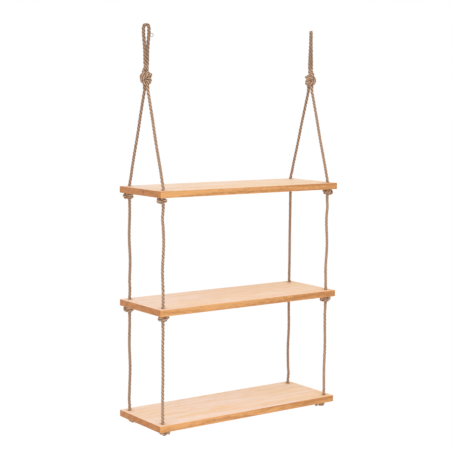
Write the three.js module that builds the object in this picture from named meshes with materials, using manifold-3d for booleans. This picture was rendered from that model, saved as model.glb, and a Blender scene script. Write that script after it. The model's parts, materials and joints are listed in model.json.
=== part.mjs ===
import * as THREE from "three";
import { mergeVertices } from "three/addons/utils/BufferGeometryUtils.js";
import Module from "manifold-3d";

// A hanging shelf: three wooden boards strung on two ropes, one rope at each end.
// Each rope is doubled into a loop for a hook, tied, and parted into a front and a rear line.
// Every line runs down through a hole near a corner of each board, and a knot under the hole
// carries the board. +X is to the right, +Y to the back and +Z up, in millimetres.
// The origin lies midway between the two hooks, where their bars would touch the loops.

// Driving dimensions

const BOARD_LENGTH = 430;
const BOARD_DEPTH = 150;
const BOARD_THICKNESS = 13;
const BOARD_EASED_EDGE = 0.8;
const BOARD_CORNER_RADIUS = 2;
const HOOK_TO_SHELF = 305;
const SHELF_PITCH = 223;

const HOLE_INSET = 14.5;
const HOLE_CLEARANCE = 1;

const ROPE_DIAMETER = 6;
const KNOT_ROPE_DIAMETER = 5;
const TURN_GAP = 0.8;
const SEAT_GAP = 0.3;

const LOOP_DROP = 72;
const LOOP_CROWN_RADIUS = 5.1;
const LOOP_NECK_GAP = 0.4;
const LEG_SPREAD = 11;

// Counts and angles

const ROPE_SIDES = 8;
const KNOT_STEPS = 33;
const LOOP_KNOT_STEPS = 42;
const LOOP_STEPS = 46;
const STRETCH_SIDES = 10;
const STRETCH_END_STEPS = 3;
const HOLE_SIDES = 16;
const CORNER_STEPS = 3;
const LOOP_TWISTS = { left: -30, right: 52 };

// Shares of the rope's diameter that a tight knot takes

const knotDropShare = 2.85;
const loopKnotReachShare = 3.31;
const straightEndShare = 0.55;

// Where each knot's lump points, in degrees from +X, under the three boards

const KNOT_TURNS = {
  left_front: [135, 40, 38],
  left_rear: [90, 75, -40],
  right_front: [45, -135, 128],
  right_rear: [30, -120, -150],
};

const MATERIALS = {
  board: new THREE.MeshStandardMaterial({ color: 0xd9b183, roughness: 0.55, metalness: 0 }),
  rope: new THREE.MeshStandardMaterial({ color: 0xab8a6c, roughness: 0.95, metalness: 0 }),
};

// Places that follow from the sizes

const ropeRadius = ROPE_DIAMETER / 2;
const holeRadius = ropeRadius + HOLE_CLEARANCE;
const pivotStandOff = SEAT_GAP + ropeRadius;
const holeX = BOARD_LENGTH / 2 - HOLE_INSET;
const holeY = BOARD_DEPTH / 2 - HOLE_INSET;
const strandOffset = ropeRadius + LOOP_NECK_GAP / 2;
const knotDrop = knotDropShare * ROPE_DIAMETER;
const loopKnotReach = loopKnotReachShare * ROPE_DIAMETER;
const swingZ = -LOOP_DROP;
const loopKnotZ = swingZ - pivotStandOff - loopKnotReach;
const slingPivotZ = loopKnotZ - loopKnotReach - pivotStandOff;
const boardTopZ = (tier) => -HOOK_TO_SHELF - tier * SHELF_PITCH;
const boardUnderZ = (tier) => boardTopZ(tier) - BOARD_THICKNESS;
const mouthZ = (tier) => boardTopZ(tier) + pivotStandOff;
const knotPivotZ = (tier) => boardUnderZ(tier) - knotDrop - pivotStandOff;

const wasm = await Module();
wasm.setup();

const shelf = new THREE.Group();

function add(name, geometry, material) {
  const mesh = new THREE.Mesh(geometry, material);
  mesh.name = name;
  shelf.add(mesh);
  return mesh;
}

// A closed geometry as a solid that can be joined
function solidOf(geometry) {
  const plain = geometry.clone();
  plain.deleteAttribute("normal");
  plain.deleteAttribute("uv");
  const merged = mergeVertices(plain);
  const mesh = new wasm.Mesh({
    numProp: 3,
    vertProperties: Float32Array.from(merged.attributes.position.array),
    triVerts: Uint32Array.from(merged.index.array),
  });
  return new wasm.Manifold(mesh);
}

function joined(geometries) {
  const solid = geometries.map(solidOf).reduce((whole, piece) => whole.add(piece));
  const mesh = solid.getMesh();
  const geometry = new THREE.BufferGeometry();
  geometry.setAttribute("position", new THREE.BufferAttribute(mesh.vertProperties, 3));
  geometry.setIndex(new THREE.BufferAttribute(mesh.triVerts, 1));
  geometry.computeVertexNormals();
  return geometry;
}

// The rope's section, a polygon of the given width across its corners
function ropeSection(diameter) {
  const corners = [];
  for (let i = 0; i < ROPE_SIDES; i += 1) {
    const angle = (2 * Math.PI * i) / ROPE_SIDES;
    const corner = new THREE.Vector2(Math.cos(angle), Math.sin(angle));
    corners.push(corner.multiplyScalar(diameter / 2));
  }
  return new THREE.Shape(corners);
}

function ropeAlong(points, diameter, steps) {
  const path = new THREE.CatmullRomCurve3(points, false, "centripetal");
  return new THREE.ExtrudeGeometry(ropeSection(diameter), {
    steps,
    bevelEnabled: false,
    extrudePath: path,
  });
}

// A taut stretch of rope from one bend to the next, round at both ends,
// so that it turns about its end points without touching its neighbours
function tautStretch(name, from, to) {
  const length = from.distanceTo(to);
  const profile = [];
  for (let i = 0; i <= STRETCH_END_STEPS; i += 1) {
    const angle = (Math.PI / 2) * (i / STRETCH_END_STEPS);
    profile.push(new THREE.Vector2(Math.sin(angle), -Math.cos(angle)).multiplyScalar(ropeRadius));
  }
  for (let i = STRETCH_END_STEPS; i >= 0; i -= 1) {
    const corner = profile[i];
    profile.push(new THREE.Vector2(corner.x, length - corner.y));
  }
  profile[0].x = 0;
  profile[profile.length - 1].x = 0;
  const mesh = add(name, new THREE.LatheGeometry(profile, STRETCH_SIDES), MATERIALS.rope);
  const along = to.clone().sub(from).normalize();
  mesh.position.copy(from);
  mesh.quaternion.setFromUnitVectors(new THREE.Vector3(0, 1, 0), along);
}

// Boards

function boardOutline() {
  const outline = new THREE.Shape();
  const x = BOARD_LENGTH / 2 - BOARD_EASED_EDGE;
  const y = BOARD_DEPTH / 2 - BOARD_EASED_EDGE;
  const r = BOARD_CORNER_RADIUS;
  outline.absarc(x - r, y - r, r, 0, Math.PI / 2);
  outline.absarc(r - x, y - r, r, Math.PI / 2, Math.PI);
  outline.absarc(r - x, r - y, r, Math.PI, 1.5 * Math.PI);
  outline.absarc(x - r, r - y, r, 1.5 * Math.PI, 2 * Math.PI);
  return outline;
}

// The bevel that eases the edges also widens each hole's mouth
function ropeHole(x, y) {
  const rim = [];
  for (let i = 0; i < HOLE_SIDES; i += 1) {
    const angle = (-2 * Math.PI * i) / HOLE_SIDES;
    const corner = new THREE.Vector2(Math.cos(angle), Math.sin(angle));
    rim.push(corner.multiplyScalar(holeRadius + BOARD_EASED_EDGE).add(new THREE.Vector2(x, y)));
  }
  return new THREE.Path(rim);
}

function board(name, tier) {
  const outline = new THREE.Shape(boardOutline().getPoints(CORNER_STEPS));
  for (const x of [-holeX, holeX]) {
    for (const y of [-holeY, holeY]) {
      outline.holes.push(ropeHole(x, y));
    }
  }
  const geometry = new THREE.ExtrudeGeometry(outline, {
    depth: BOARD_THICKNESS - 2 * BOARD_EASED_EDGE,
    bevelThickness: BOARD_EASED_EDGE,
    bevelSize: BOARD_EASED_EDGE,
    bevelSegments: 1,
  });
  const mesh = add(name, geometry, MATERIALS.board);
  mesh.position.z = boardUnderZ(tier) + BOARD_EASED_EDGE;
}

// Knots: a loosely tied overhand knot is laid out, and then drawn tight

const contactDistance = KNOT_ROPE_DIAMETER + TURN_GAP;
const leastBendShare = 0.55;
const easeShare = 0.3;
const slackEndShare = 0.6;
const restShare = 0.15;

// The overhand knot drawn out along its line: three polynomials of t, with their shares
const OPEN_KNOT_SAMPLE_COUNT = 40;
const openKnotEndShare = 2.1;
const openKnotShares = { acrossShift: 1.5, acrossBow: 4, deepBow: 10, downBow: 3 };

function openOverhand({ size, depthShare, top, bottom, count }) {
  const { acrossShift, acrossBow, deepBow, downBow } = openKnotShares;
  const points = [new THREE.Vector3(0, 0, top)];
  for (let i = 0; i <= OPEN_KNOT_SAMPLE_COUNT; i += 1) {
    const t = openKnotEndShare * ((2 * i) / OPEN_KNOT_SAMPLE_COUNT - 1);
    const across = t ** 4 - acrossBow * t ** 2 + acrossShift;
    const deep = (t ** 5 - deepBow * t) * depthShare;
    const down = t ** 3 - downBow * t;
    points.push(new THREE.Vector3(across, deep, -down).multiplyScalar(size));
  }
  points.push(new THREE.Vector3(0, 0, bottom));
  const curve = new THREE.CatmullRomCurve3(points, false, "centripetal");
  curve.arcLengthDivisions = OPEN_KNOT_SAMPLE_COUNT * count;
  return curve.getSpacedPoints(count);
}

function lengthOf(line) {
  return line.slice(1).reduce((sum, point, i) => sum + point.distanceTo(line[i]), 0);
}

// Keeps neighbouring points of a line at their distance. The line's two ends are held.
function keepSpacing(line, spacing) {
  const step = new THREE.Vector3();
  const last = line.length - 2;
  for (let i = 0; i <= last; i += 1) {
    step.subVectors(line[i + 1], line[i]);
    const surplus = 1 - spacing / step.length();
    const share = i === 0 ? 0 : i === last ? 1 : 0.5;
    line[i].addScaledVector(step, surplus * share);
    line[i + 1].addScaledVector(step, surplus * (share - 1));
  }
}

// Two points of rope can come no closer than a contact, or than the tightest bend lets them
function leastDistance(along) {
  const bend = leastBendShare * contactDistance;
  if (along >= Math.PI * bend) {
    return contactDistance;
  }
  return Math.min(contactDistance, 2 * bend * Math.sin(along / (2 * bend)));
}

function pushApart(lines, spacings) {
  const beads = lines.flatMap((line, n) =>
    line.map((point, i) => ({ point, n, i, held: i === 0 || i === line.length - 1 })),
  );
  const step = new THREE.Vector3();
  for (let a = 0; a < beads.length; a += 1) {
    for (let b = a + 2; b < beads.length; b += 1) {
      const one = beads[a];
      const other = beads[b];
      step.subVectors(other.point, one.point);
      const distance = step.length();
      if (distance >= contactDistance || (one.held && other.held)) {
        continue;
      }
      const along = one.n === other.n ? (other.i - one.i) * spacings[one.n] : Infinity;
      const least = leastDistance(along);
      const gain = Math.max(least / distance - 1, 0);
      const share = one.held ? 0 : other.held ? 1 : 0.5;
      one.point.addScaledVector(step, -gain * share);
      other.point.addScaledVector(step, gain * (1 - share));
    }
  }
}

// The load presses the turns of a knot flat between a ceiling, the wood, and a floor.
// Beyond them the rope runs along the hole's axis.
function keepPressed(line, { ceiling, floor }) {
  for (const point of line.slice(1, -1)) {
    const pressedZ = THREE.MathUtils.clamp(point.z, floor, ceiling);
    if (pressedZ === point.z) {
      continue;
    }
    if (Math.hypot(point.x, point.y) < holeRadius) {
      point.x /= 2;
      point.y /= 2;
    } else {
      point.z = pressedZ;
    }
  }
}

// Draws lines of points out through their held ends, as a knot is drawn tight,
// until each line has the length given. lift is how far each pass raises the rope.
// The pull dies away over the last passes, so that the rope comes to rest in contact.
function drawTight(lines, { lengths, lift, press }) {
  const slack = lines.map(lengthOf);
  for (let pass = 0; pass < KNOT_PASS_COUNT; pass += 1) {
    const drawn = Math.min(1, pass / (slackEndShare * KNOT_PASS_COUNT));
    const spacings = lines.map((line, n) => {
      return (slack[n] + (lengths[n] - slack[n]) * drawn) / (line.length - 1);
    });
    const tension = Math.min(1, (1 - pass / KNOT_PASS_COUNT) / restShare);
    for (const line of lines) {
      const before = line.map((point) => point.clone());
      for (let i = 1; i < line.length - 1; i += 1) {
        const middle = before[i - 1].clone().lerp(before[i + 1], 0.5);
        line[i].lerp(middle, easeShare * tension);
        line[i].z += lift * tension;
      }
    }
    for (let settle = 0; settle < KNOT_SETTLE_COUNT; settle += 1) {
      lines.forEach((line, n) => keepSpacing(line, spacings[n]));
      pushApart(lines, spacings);
      if (press) {
        lines.forEach((line) => keepPressed(line, press));
      }
    }
  }
}

// How much rope each knot takes up, and how loosely it is first laid out, in rope diameters
const boardKnotShares = { rope: 11.2, size: 0.75, depth: 0.5, top: 4.2, bottom: -7.5, lift: 0.05 };
const endKnotShares = { ...boardKnotShares, rope: 9.6, depth: 1 / 6, tail: [2.2, 1.35] };
const loopKnotShares = { rope: 14.2, size: 1.5, depth: 0.3, top: 10, bottom: -10, lift: 0 };
const pressedLayerShare = 1.1;
const tiedReachShare = 2;
const loopKnotStretchShare = 1.2;
const KNOT_POINT_COUNT = 88;
const KNOT_PASS_COUNT = 600;
const KNOT_SETTLE_COUNT = 12;

// A knot under a board lies in two layers, a knot at a rope's end is free below
const boardKnotCeiling = -KNOT_ROPE_DIAMETER / 2 - SEAT_GAP;
const boardKnotFloor = boardKnotCeiling - pressedLayerShare * contactDistance;
const straightEnd = straightEndShare * ROPE_DIAMETER;

function laidOut(shares) {
  return openOverhand({
    size: shares.size * ROPE_DIAMETER,
    depthShare: shares.depth,
    top: shares.top * ROPE_DIAMETER,
    bottom: shares.bottom * ROPE_DIAMETER,
    count: KNOT_POINT_COUNT,
  });
}

// The knot under a board: z is 0 at the board's underside, and the rope comes down the hole's axis.
// The rope is held two diameters up as the knot is drawn tight, and runs on to the board's top.
function boardKnotLine(shares, end, floor) {
  const line = laidOut(shares);
  const reach = tiedReachShare * ROPE_DIAMETER;
  line[0].set(0, 0, reach);
  line[line.length - 1].copy(end);
  drawTight([line], {
    lengths: [reach + end.length() + shares.rope * ROPE_DIAMETER],
    lift: shares.lift * ROPE_DIAMETER,
    press: { ceiling: boardKnotCeiling, floor },
  });
  const below = line.filter((point) => point.z < BOARD_THICKNESS - straightEnd);
  return [new THREE.Vector3(0, 0, BOARD_THICKNESS), ...below];
}

// The rope beyond a knot's last bend, straight along its own line
function withStraightEnd(line, rise) {
  const end = line[line.length - 1];
  return [...line, end.clone().setZ(end.z + rise)];
}

// The knot below a loop: two strands tied as one,
// side by side above the knot and one behind the other below it.
// It hangs free, so the load draws it out along the rope.
function loopKnotLines() {
  const middle = laidOut(loopKnotShares);
  const apart = new THREE.Vector3(0, contactDistance / 2, 0);
  const rear = middle.map((point) => point.clone().add(apart));
  const front = middle.map((point) => point.clone().sub(apart));
  const last = middle.length - 1;
  const reach = (loopKnotReach - straightEnd) / loopKnotStretchShare;
  rear[0].set(strandOffset, 0, reach);
  front[0].set(-strandOffset, 0, reach);
  rear[last].set(0, LEG_SPREAD / 2, -reach);
  front[last].set(0, -LEG_SPREAD / 2, -reach);
  const length = 2 * reach + loopKnotShares.rope * ROPE_DIAMETER;
  drawTight([rear, front], { lengths: [length, length], lift: 0 });
  for (const point of [...rear, ...front]) {
    point.z *= loopKnotStretchShare;
  }
  const bothEnds = (line) => {
    const upper = line[0].clone().setZ(loopKnotReach);
    return [upper, ...withStraightEnd(line, -straightEnd)];
  };
  return { rear: bothEnds(rear), front: bothEnds(front) };
}

// The least distance between the surfaces of rope that lies beside itself or another strand
function leastTurnGap(lines) {
  const nearAlong = Math.PI * leastBendShare * contactDistance;
  let least = Infinity;
  for (const one of lines) {
    const spacing = lengthOf(one) / (one.length - 1);
    for (const other of lines) {
      one.forEach((a, i) => {
        const from = one === other ? i + Math.ceil(nearAlong / spacing) : 0;
        for (const b of other.slice(from)) {
          least = Math.min(least, a.distanceTo(b));
        }
      });
    }
  }
  return least - KNOT_ROPE_DIAMETER;
}

// A knot lies mostly to one side of its hole. This turns that side to the given angle from +X.
function turnedTo(line, degrees) {
  const body = line.filter((point) => Math.hypot(point.x, point.y) > ropeRadius);
  const middle = body.reduce((sum, point) => sum.add(point), new THREE.Vector3());
  const turn = THREE.MathUtils.degToRad(degrees) - Math.atan2(middle.y, middle.x);
  return line.map((point) => point.clone().applyAxisAngle(new THREE.Vector3(0, 0, 1), turn));
}

const knotTail = new THREE.Vector3(0, 0, straightEnd - knotDrop);
const [tailX, tailY] = endKnotShares.tail.map((share) => share * ROPE_DIAMETER);
const endTail = new THREE.Vector3(tailX, tailY, boardKnotCeiling);
const tightKnot = boardKnotLine(boardKnotShares, knotTail, boardKnotFloor);
const runningKnot = withStraightEnd(tightKnot, -straightEnd);
const endKnot = boardKnotLine(endKnotShares, endTail, -Infinity);
const loopKnot = loopKnotLines();
const turnGaps = [[runningKnot], [endKnot], [loopKnot.rear, loopKnot.front]].map(leastTurnGap);
console.log("least gaps in the knots, mm:", turnGaps.map((gap) => gap.toFixed(2)).join(", "));

// The left loop's knot is the right one's turned half round, so its strands change places
function halfTurned(line) {
  return line.map((point) => new THREE.Vector3(-point.x, -point.y, point.z));
}

const loopKnots = {
  left: { rear: halfTurned(loopKnot.front), front: halfTurned(loopKnot.rear) },
  right: loopKnot,
};

// The knots on the left rope are tied the other way round
function mirrored(line) {
  return line.map((point) => new THREE.Vector3(-point.x, point.y, point.z));
}

// The bight over a hook: two strands side by side that open into a narrow eye and close over the top
const LOOP_RISE_SHARES = [0, 0.12, 0.26, 0.4, 0.54, 0.68, 0.82, 0.92];
const LOOP_WIDTH_SHARES = [0, 0, 0, 0.06, 0.28, 0.62, 0.94, 1];
const CROWN_ANGLES = [0, 30, 60, 90, 120, 150, 180];
const loopTwistEndShare = 0.8;

function loopLine(twistDegrees) {
  const rise = LOOP_DROP + ropeRadius - LOOP_CROWN_RADIUS;
  const turned = (halfWidth, height) => {
    const twistShare = THREE.MathUtils.smoothstep(height / rise, 0, loopTwistEndShare);
    const twist = THREE.MathUtils.degToRad(twistDegrees) * twistShare;
    return new THREE.Vector3(halfWidth * Math.cos(twist), halfWidth * Math.sin(twist), swingZ + height);
  };
  const side = (sign) =>
    LOOP_RISE_SHARES.map((share, i) => {
      const halfWidth = strandOffset + (LOOP_CROWN_RADIUS - strandOffset) * LOOP_WIDTH_SHARES[i];
      return turned(sign * halfWidth, share * rise);
    });
  const crown = CROWN_ANGLES.map((angle) => {
    const a = THREE.MathUtils.degToRad(angle);
    return turned(-LOOP_CROWN_RADIUS * Math.cos(a), rise + LOOP_CROWN_RADIUS * Math.sin(a));
  });
  return [...side(-1), ...crown, ...side(1).reverse()];
}

// A loop's two lower ends are rounded where the knot swings under them
function hangingLoop(side) {
  const line = loopLine(LOOP_TWISTS[side]);
  const rounded = [line[0], line[line.length - 1]].map((end) => {
    const ball = new THREE.SphereGeometry(KNOT_ROPE_DIAMETER / 2, STRETCH_SIDES, 2 * STRETCH_END_STEPS);
    return ball.translate(end.x, end.y, end.z);
  });
  return joined([ropeAlong(line, ROPE_DIAMETER, LOOP_STEPS), ...rounded]);
}

const SIDES = { left: -1, right: 1 };
const ENDS = { front: -1, rear: 1 };
const TIERS = ["top", "middle", "bottom"];

for (const [side, signX] of Object.entries(SIDES)) {
  const loop = add(`${side}_hanging_loop`, hangingLoop(side), MATERIALS.rope);
  loop.position.x = signX * holeX;
  for (const [end, signY] of Object.entries(ENDS)) {
    const strand = ropeAlong(loopKnots[side][end], KNOT_ROPE_DIAMETER, LOOP_KNOT_STEPS);
    const mesh = add(`${side}_loop_knot_${end}_strand`, strand, MATERIALS.rope);
    mesh.position.set(signX * holeX, 0, loopKnotZ);
    tautStretch(
      `${side}_${end}_sling_rope`,
      new THREE.Vector3(signX * holeX, (signY * LEG_SPREAD) / 2, slingPivotZ),
      new THREE.Vector3(signX * holeX, signY * holeY, mouthZ(0)),
    );
  }
}

TIERS.forEach((tierName, tier) => {
  board(`${tierName}_shelf_board`, tier);
  const isLast = tier === TIERS.length - 1;
  const plainKnot = isLast ? endKnot : runningKnot;
  for (const [side, signX] of Object.entries(SIDES)) {
    const tied = side === "left" ? mirrored(plainKnot) : plainKnot;
    for (const [end, signY] of Object.entries(ENDS)) {
      const corner = new THREE.Vector3(signX * holeX, signY * holeY, 0);
      const line = turnedTo(tied, KNOT_TURNS[`${side}_${end}`][tier]);
      const knot = ropeAlong(line, KNOT_ROPE_DIAMETER, KNOT_STEPS);
      const mesh = add(`${side}_${end}_${tierName}_shelf_knot`, knot, MATERIALS.rope);
      mesh.position.set(corner.x, corner.y, boardUnderZ(tier));
      if (!isLast) {
        tautStretch(
          `${side}_${end}_${TIERS[tier + 1]}_shelf_rope`,
          corner.clone().setZ(knotPivotZ(tier)),
          corner.clone().setZ(mouthZ(tier + 1)),
        );
      }
    }
  }
});

export default shelf;
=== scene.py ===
"""Looks of a hanging shelf: three wooden boards strung on two knotted jute ropes."""

import json
import logging
import math
from collections.abc import Iterator, Sequence
from dataclasses import dataclass, field, replace
from enum import Enum

import bmesh
import bpy
import numpy as np
from mathutils import Color, Matrix, Vector

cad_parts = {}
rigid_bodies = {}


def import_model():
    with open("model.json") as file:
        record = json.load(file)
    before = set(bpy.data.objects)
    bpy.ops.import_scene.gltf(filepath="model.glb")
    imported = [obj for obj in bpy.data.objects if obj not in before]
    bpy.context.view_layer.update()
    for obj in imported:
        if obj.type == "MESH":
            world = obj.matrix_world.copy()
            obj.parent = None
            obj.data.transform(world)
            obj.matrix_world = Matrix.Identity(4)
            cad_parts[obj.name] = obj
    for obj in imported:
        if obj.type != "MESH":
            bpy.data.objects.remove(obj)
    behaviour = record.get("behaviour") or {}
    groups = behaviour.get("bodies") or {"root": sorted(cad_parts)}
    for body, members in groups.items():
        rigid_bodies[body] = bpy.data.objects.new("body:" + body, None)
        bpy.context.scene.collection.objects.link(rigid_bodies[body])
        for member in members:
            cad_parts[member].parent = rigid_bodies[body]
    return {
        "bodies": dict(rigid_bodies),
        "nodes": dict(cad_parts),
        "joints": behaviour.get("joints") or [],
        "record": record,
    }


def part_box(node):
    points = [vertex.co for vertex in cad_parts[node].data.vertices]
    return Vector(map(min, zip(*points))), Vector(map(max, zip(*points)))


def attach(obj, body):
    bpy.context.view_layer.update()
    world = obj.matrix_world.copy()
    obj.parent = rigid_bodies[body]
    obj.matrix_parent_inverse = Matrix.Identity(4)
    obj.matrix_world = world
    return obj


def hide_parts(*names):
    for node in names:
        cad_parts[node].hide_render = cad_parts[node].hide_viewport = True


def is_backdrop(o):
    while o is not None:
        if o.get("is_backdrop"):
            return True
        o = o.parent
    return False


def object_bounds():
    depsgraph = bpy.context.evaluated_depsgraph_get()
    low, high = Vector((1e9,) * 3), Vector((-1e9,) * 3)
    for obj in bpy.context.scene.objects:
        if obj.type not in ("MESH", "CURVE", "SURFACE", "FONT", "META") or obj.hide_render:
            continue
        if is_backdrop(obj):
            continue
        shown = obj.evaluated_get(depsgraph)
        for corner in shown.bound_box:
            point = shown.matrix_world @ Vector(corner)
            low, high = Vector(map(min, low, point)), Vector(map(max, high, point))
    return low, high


LOG = logging.getLogger("hanging_shelf")
MM = 0.001
TURN = 2 * math.pi
WHITE = (255, 255, 255)

# How much farther from a tube's end than the nearest corner its first ring's corners may lie, in metres
RING_TOLERANCE = 0.0002

# How many points a smooth line gets between two of the points that it is drawn through
SPLINE_SAMPLES = 12

# The least length that a step between two points counts as, in metres
LEAST_STEP = 1e-9

# The length of rope over which the painted yarn's coordinate grows by one, in metres
YARN_LENGTH = 0.011

Span = tuple[float, float]
Triple = tuple[float, float, float]
Shares = tuple[float, ...]
Box = tuple[Vector, Vector]
Array = np.ndarray
Frames = tuple[Array, Array]
Faces = list[tuple[int, ...]]


class Side(Enum):
    """The two ends of the shelf, each with its own rope."""

    LEFT = "left"
    RIGHT = "right"


class Line(Enum):
    """The two lines that a rope parts into below its loop."""

    REAR = "rear"
    FRONT = "front"


class Tier(Enum):
    """The three boards, from the top down."""

    TOP = "top"
    MIDDLE = "middle"
    BOTTOM = "bottom"


# The joint at which the ropes below a board turn
SWAYS_BELOW = {Tier.TOP: "left_middle_sway", Tier.MIDDLE: "left_lower_sway"}


# Shader building


@dataclass(frozen=True)
class Signal:
    """A number or a colour at one output socket of a tree that is being built, with Python's arithmetic."""

    builder: "NodeBuilder"
    socket: bpy.types.NodeSocket

    def _math(self, operation: str, first: object, second: object = 0.0) -> "Signal":
        """Adds one Math node and returns its result."""
        node = self.builder.node("ShaderNodeMath", {"operation": operation}, {0: first, 1: second})
        return self.builder.output(node)

    def __add__(self, other: object) -> "Signal":
        """Adds a number or a signal."""
        return self._math("ADD", self, other)

    def __radd__(self, other: object) -> "Signal":
        """Adds to a number."""
        return self._math("ADD", other, self)

    def __sub__(self, other: object) -> "Signal":
        """Takes a number or a signal away."""
        return self._math("SUBTRACT", self, other)

    def __rsub__(self, other: object) -> "Signal":
        """Takes this signal from a number."""
        return self._math("SUBTRACT", other, self)

    def __mul__(self, other: object) -> "Signal":
        """Multiplies by a number or a signal."""
        return self._math("MULTIPLY", self, other)

    def __rmul__(self, other: object) -> "Signal":
        """Multiplies a number."""
        return self._math("MULTIPLY", other, self)

    def __pow__(self, other: object) -> "Signal":
        """Raises to a power."""
        return self._math("POWER", self, other)

    def __rpow__(self, other: object) -> "Signal":
        """Raises a number to this power."""
        return self._math("POWER", other, self)

    def __abs__(self) -> "Signal":
        """The size without the sign."""
        return self._math("ABSOLUTE", self)

    def sine(self) -> "Signal":
        """The sine of an angle in radians."""
        return self._math("SINE", self)

    def largest(self, other: object) -> "Signal":
        """The larger of two numbers."""
        return self._math("MAXIMUM", self, other)


def blended(shares: Sequence[float], *signals: Signal) -> Signal:
    """Adds up signals, each times its share."""
    return sum(signal * share for share, signal in zip(shares, signals))


def diagonal(first: Signal, second: Signal) -> Signal:
    """The distance that two steps at right angles cover."""
    return (first * first + second * second) ** 0.5


def linear(colour: Triple) -> tuple[float, ...]:
    """Turns a colour as seen on a screen, 0 to 255, into linear light with an alpha of 1."""
    return (*Color([channel / 255 for channel in colour]).from_srgb_to_scene_linear(), 1.0)


@dataclass(frozen=True)
class Pattern:
    """Soft noise: its fineness along each axis, its finer layers, their strength and its warp."""

    scale: Triple
    detail: float = 2.0
    rough: float = 0.5
    bend: float = 0.0


class NodeBuilder:
    """A tree of nodes that is being built, for a material or for the world."""

    def __init__(self, owner: bpy.types.Material | bpy.types.World, end: str) -> None:
        """Empties the owner's tree and adds its output.

        Args:
            owner: What the tree belongs to.
            end: The type of its output node.
        """
        owner.use_nodes = True
        self.owner = owner
        self.tree = owner.node_tree
        self.tree.nodes.clear()
        self.end = self.node(end)

    def node(self, kind: str, settings: dict | None = None, inputs: dict | None = None) -> bpy.types.Node:
        """Adds a node.

        Args:
            kind: The node's type.
            settings: The node's own settings, set before its sockets.
            inputs: A value or a signal for each input socket, by number or name.

        Returns:
            The new node.
        """
        node = self.tree.nodes.new(kind)
        for name, value in (settings or {}).items():
            setattr(node, name, value)
        for key, value in (inputs or {}).items():
            if isinstance(value, Signal):
                self.tree.links.new(value.socket, node.inputs[key])
            else:
                node.inputs[key].default_value = value
        return node

    def output(self, node: bpy.types.Node, key: int | str = 0) -> Signal:
        """One output of a node as a signal."""
        return Signal(self, node.outputs[key])

    def close(self, surface: bpy.types.Node) -> bpy.types.Material | bpy.types.World:
        """Joins the last node to the tree's output and hands back the owner."""
        self.tree.links.new(surface.outputs[0], self.end.inputs["Surface"])
        return self.owner


class Paint(NodeBuilder):
    """A material that is being built from nodes."""

    def __init__(self, name: str) -> None:
        """Starts an empty material with its output."""
        super().__init__(bpy.data.materials.new(name), "ShaderNodeOutputMaterial")

    def mix(self, share: object, first: object, second: object) -> Signal:
        """Mixes two colours, where a share from 0 to 1 says how much of the second shows."""
        node = self.node("ShaderNodeMix", {"data_type": "RGBA"}, {0: share, 6: first, 7: second})
        return self.output(node, 2)

    def scaled(self, vector: Signal, scale: Triple, offset: Triple = (0.0, 0.0, 0.0)) -> Signal:
        """Scales a vector along each axis, and then moves it."""
        inputs = {0: vector, 1: scale, 2: offset}
        return self.output(self.node("ShaderNodeVectorMath", {"operation": "MULTIPLY_ADD"}, inputs))

    def noise(self, vector: Signal, pattern: Pattern) -> Signal:
        """Reads soft noise.

        Args:
            vector: Where to read it.
            pattern: What it is like.

        Returns:
            The noise, from 0 to 1 with its mean near a half.
        """
        inputs = {
            "Vector": self.scaled(vector, pattern.scale),
            "Scale": 1.0,
            "Detail": pattern.detail,
            "Roughness": pattern.rough,
            "Distortion": pattern.bend,
        }
        return self.output(self.node("ShaderNodeTexNoise", {"noise_dimensions": "3D"}, inputs))

    def step(self, value: Signal, span: Span) -> Signal:
        """Goes smoothly from 0 to 1 as a value passes through a span."""
        inputs = {"Value": value, "From Min": span[0], "From Max": span[1]}
        return self.output(self.node("ShaderNodeMapRange", {"interpolation_type": "SMOOTHSTEP"}, inputs))

    def parts(self, vector: Signal) -> tuple[Signal, ...]:
        """The three numbers of a vector."""
        node = self.node("ShaderNodeSeparateXYZ", None, {0: vector})
        return tuple(self.output(node, axis) for axis in range(3))

    def coordinates(self, name: str) -> Signal:
        """A set of the object's own coordinates, such as Object or Normal."""
        return self.output(self.node("ShaderNodeTexCoord"), name)

    def attribute(self, name: str) -> Signal:
        """A vector that is stored on the mesh's points."""
        return self.output(self.node("ShaderNodeAttribute", {"attribute_name": name}), "Vector")

    def bump(self, height: Signal, distance: float, strength: float) -> Signal:
        """A normal that is bumped by a height, where 1 stands out by a distance in metres."""
        inputs = {"Height": height, "Distance": distance, "Strength": strength}
        return self.output(self.node("ShaderNodeBump", None, inputs))

    def finish(self, **sockets: object) -> bpy.types.Material:
        """Ends the material in one Principled surface, with underscores for spaces in its sockets' names."""
        inputs = {name.replace("_", " "): value for name, value in sockets.items()}
        return self.close(self.node("ShaderNodeBsdfPrincipled", None, inputs))


# Finishes


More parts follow.
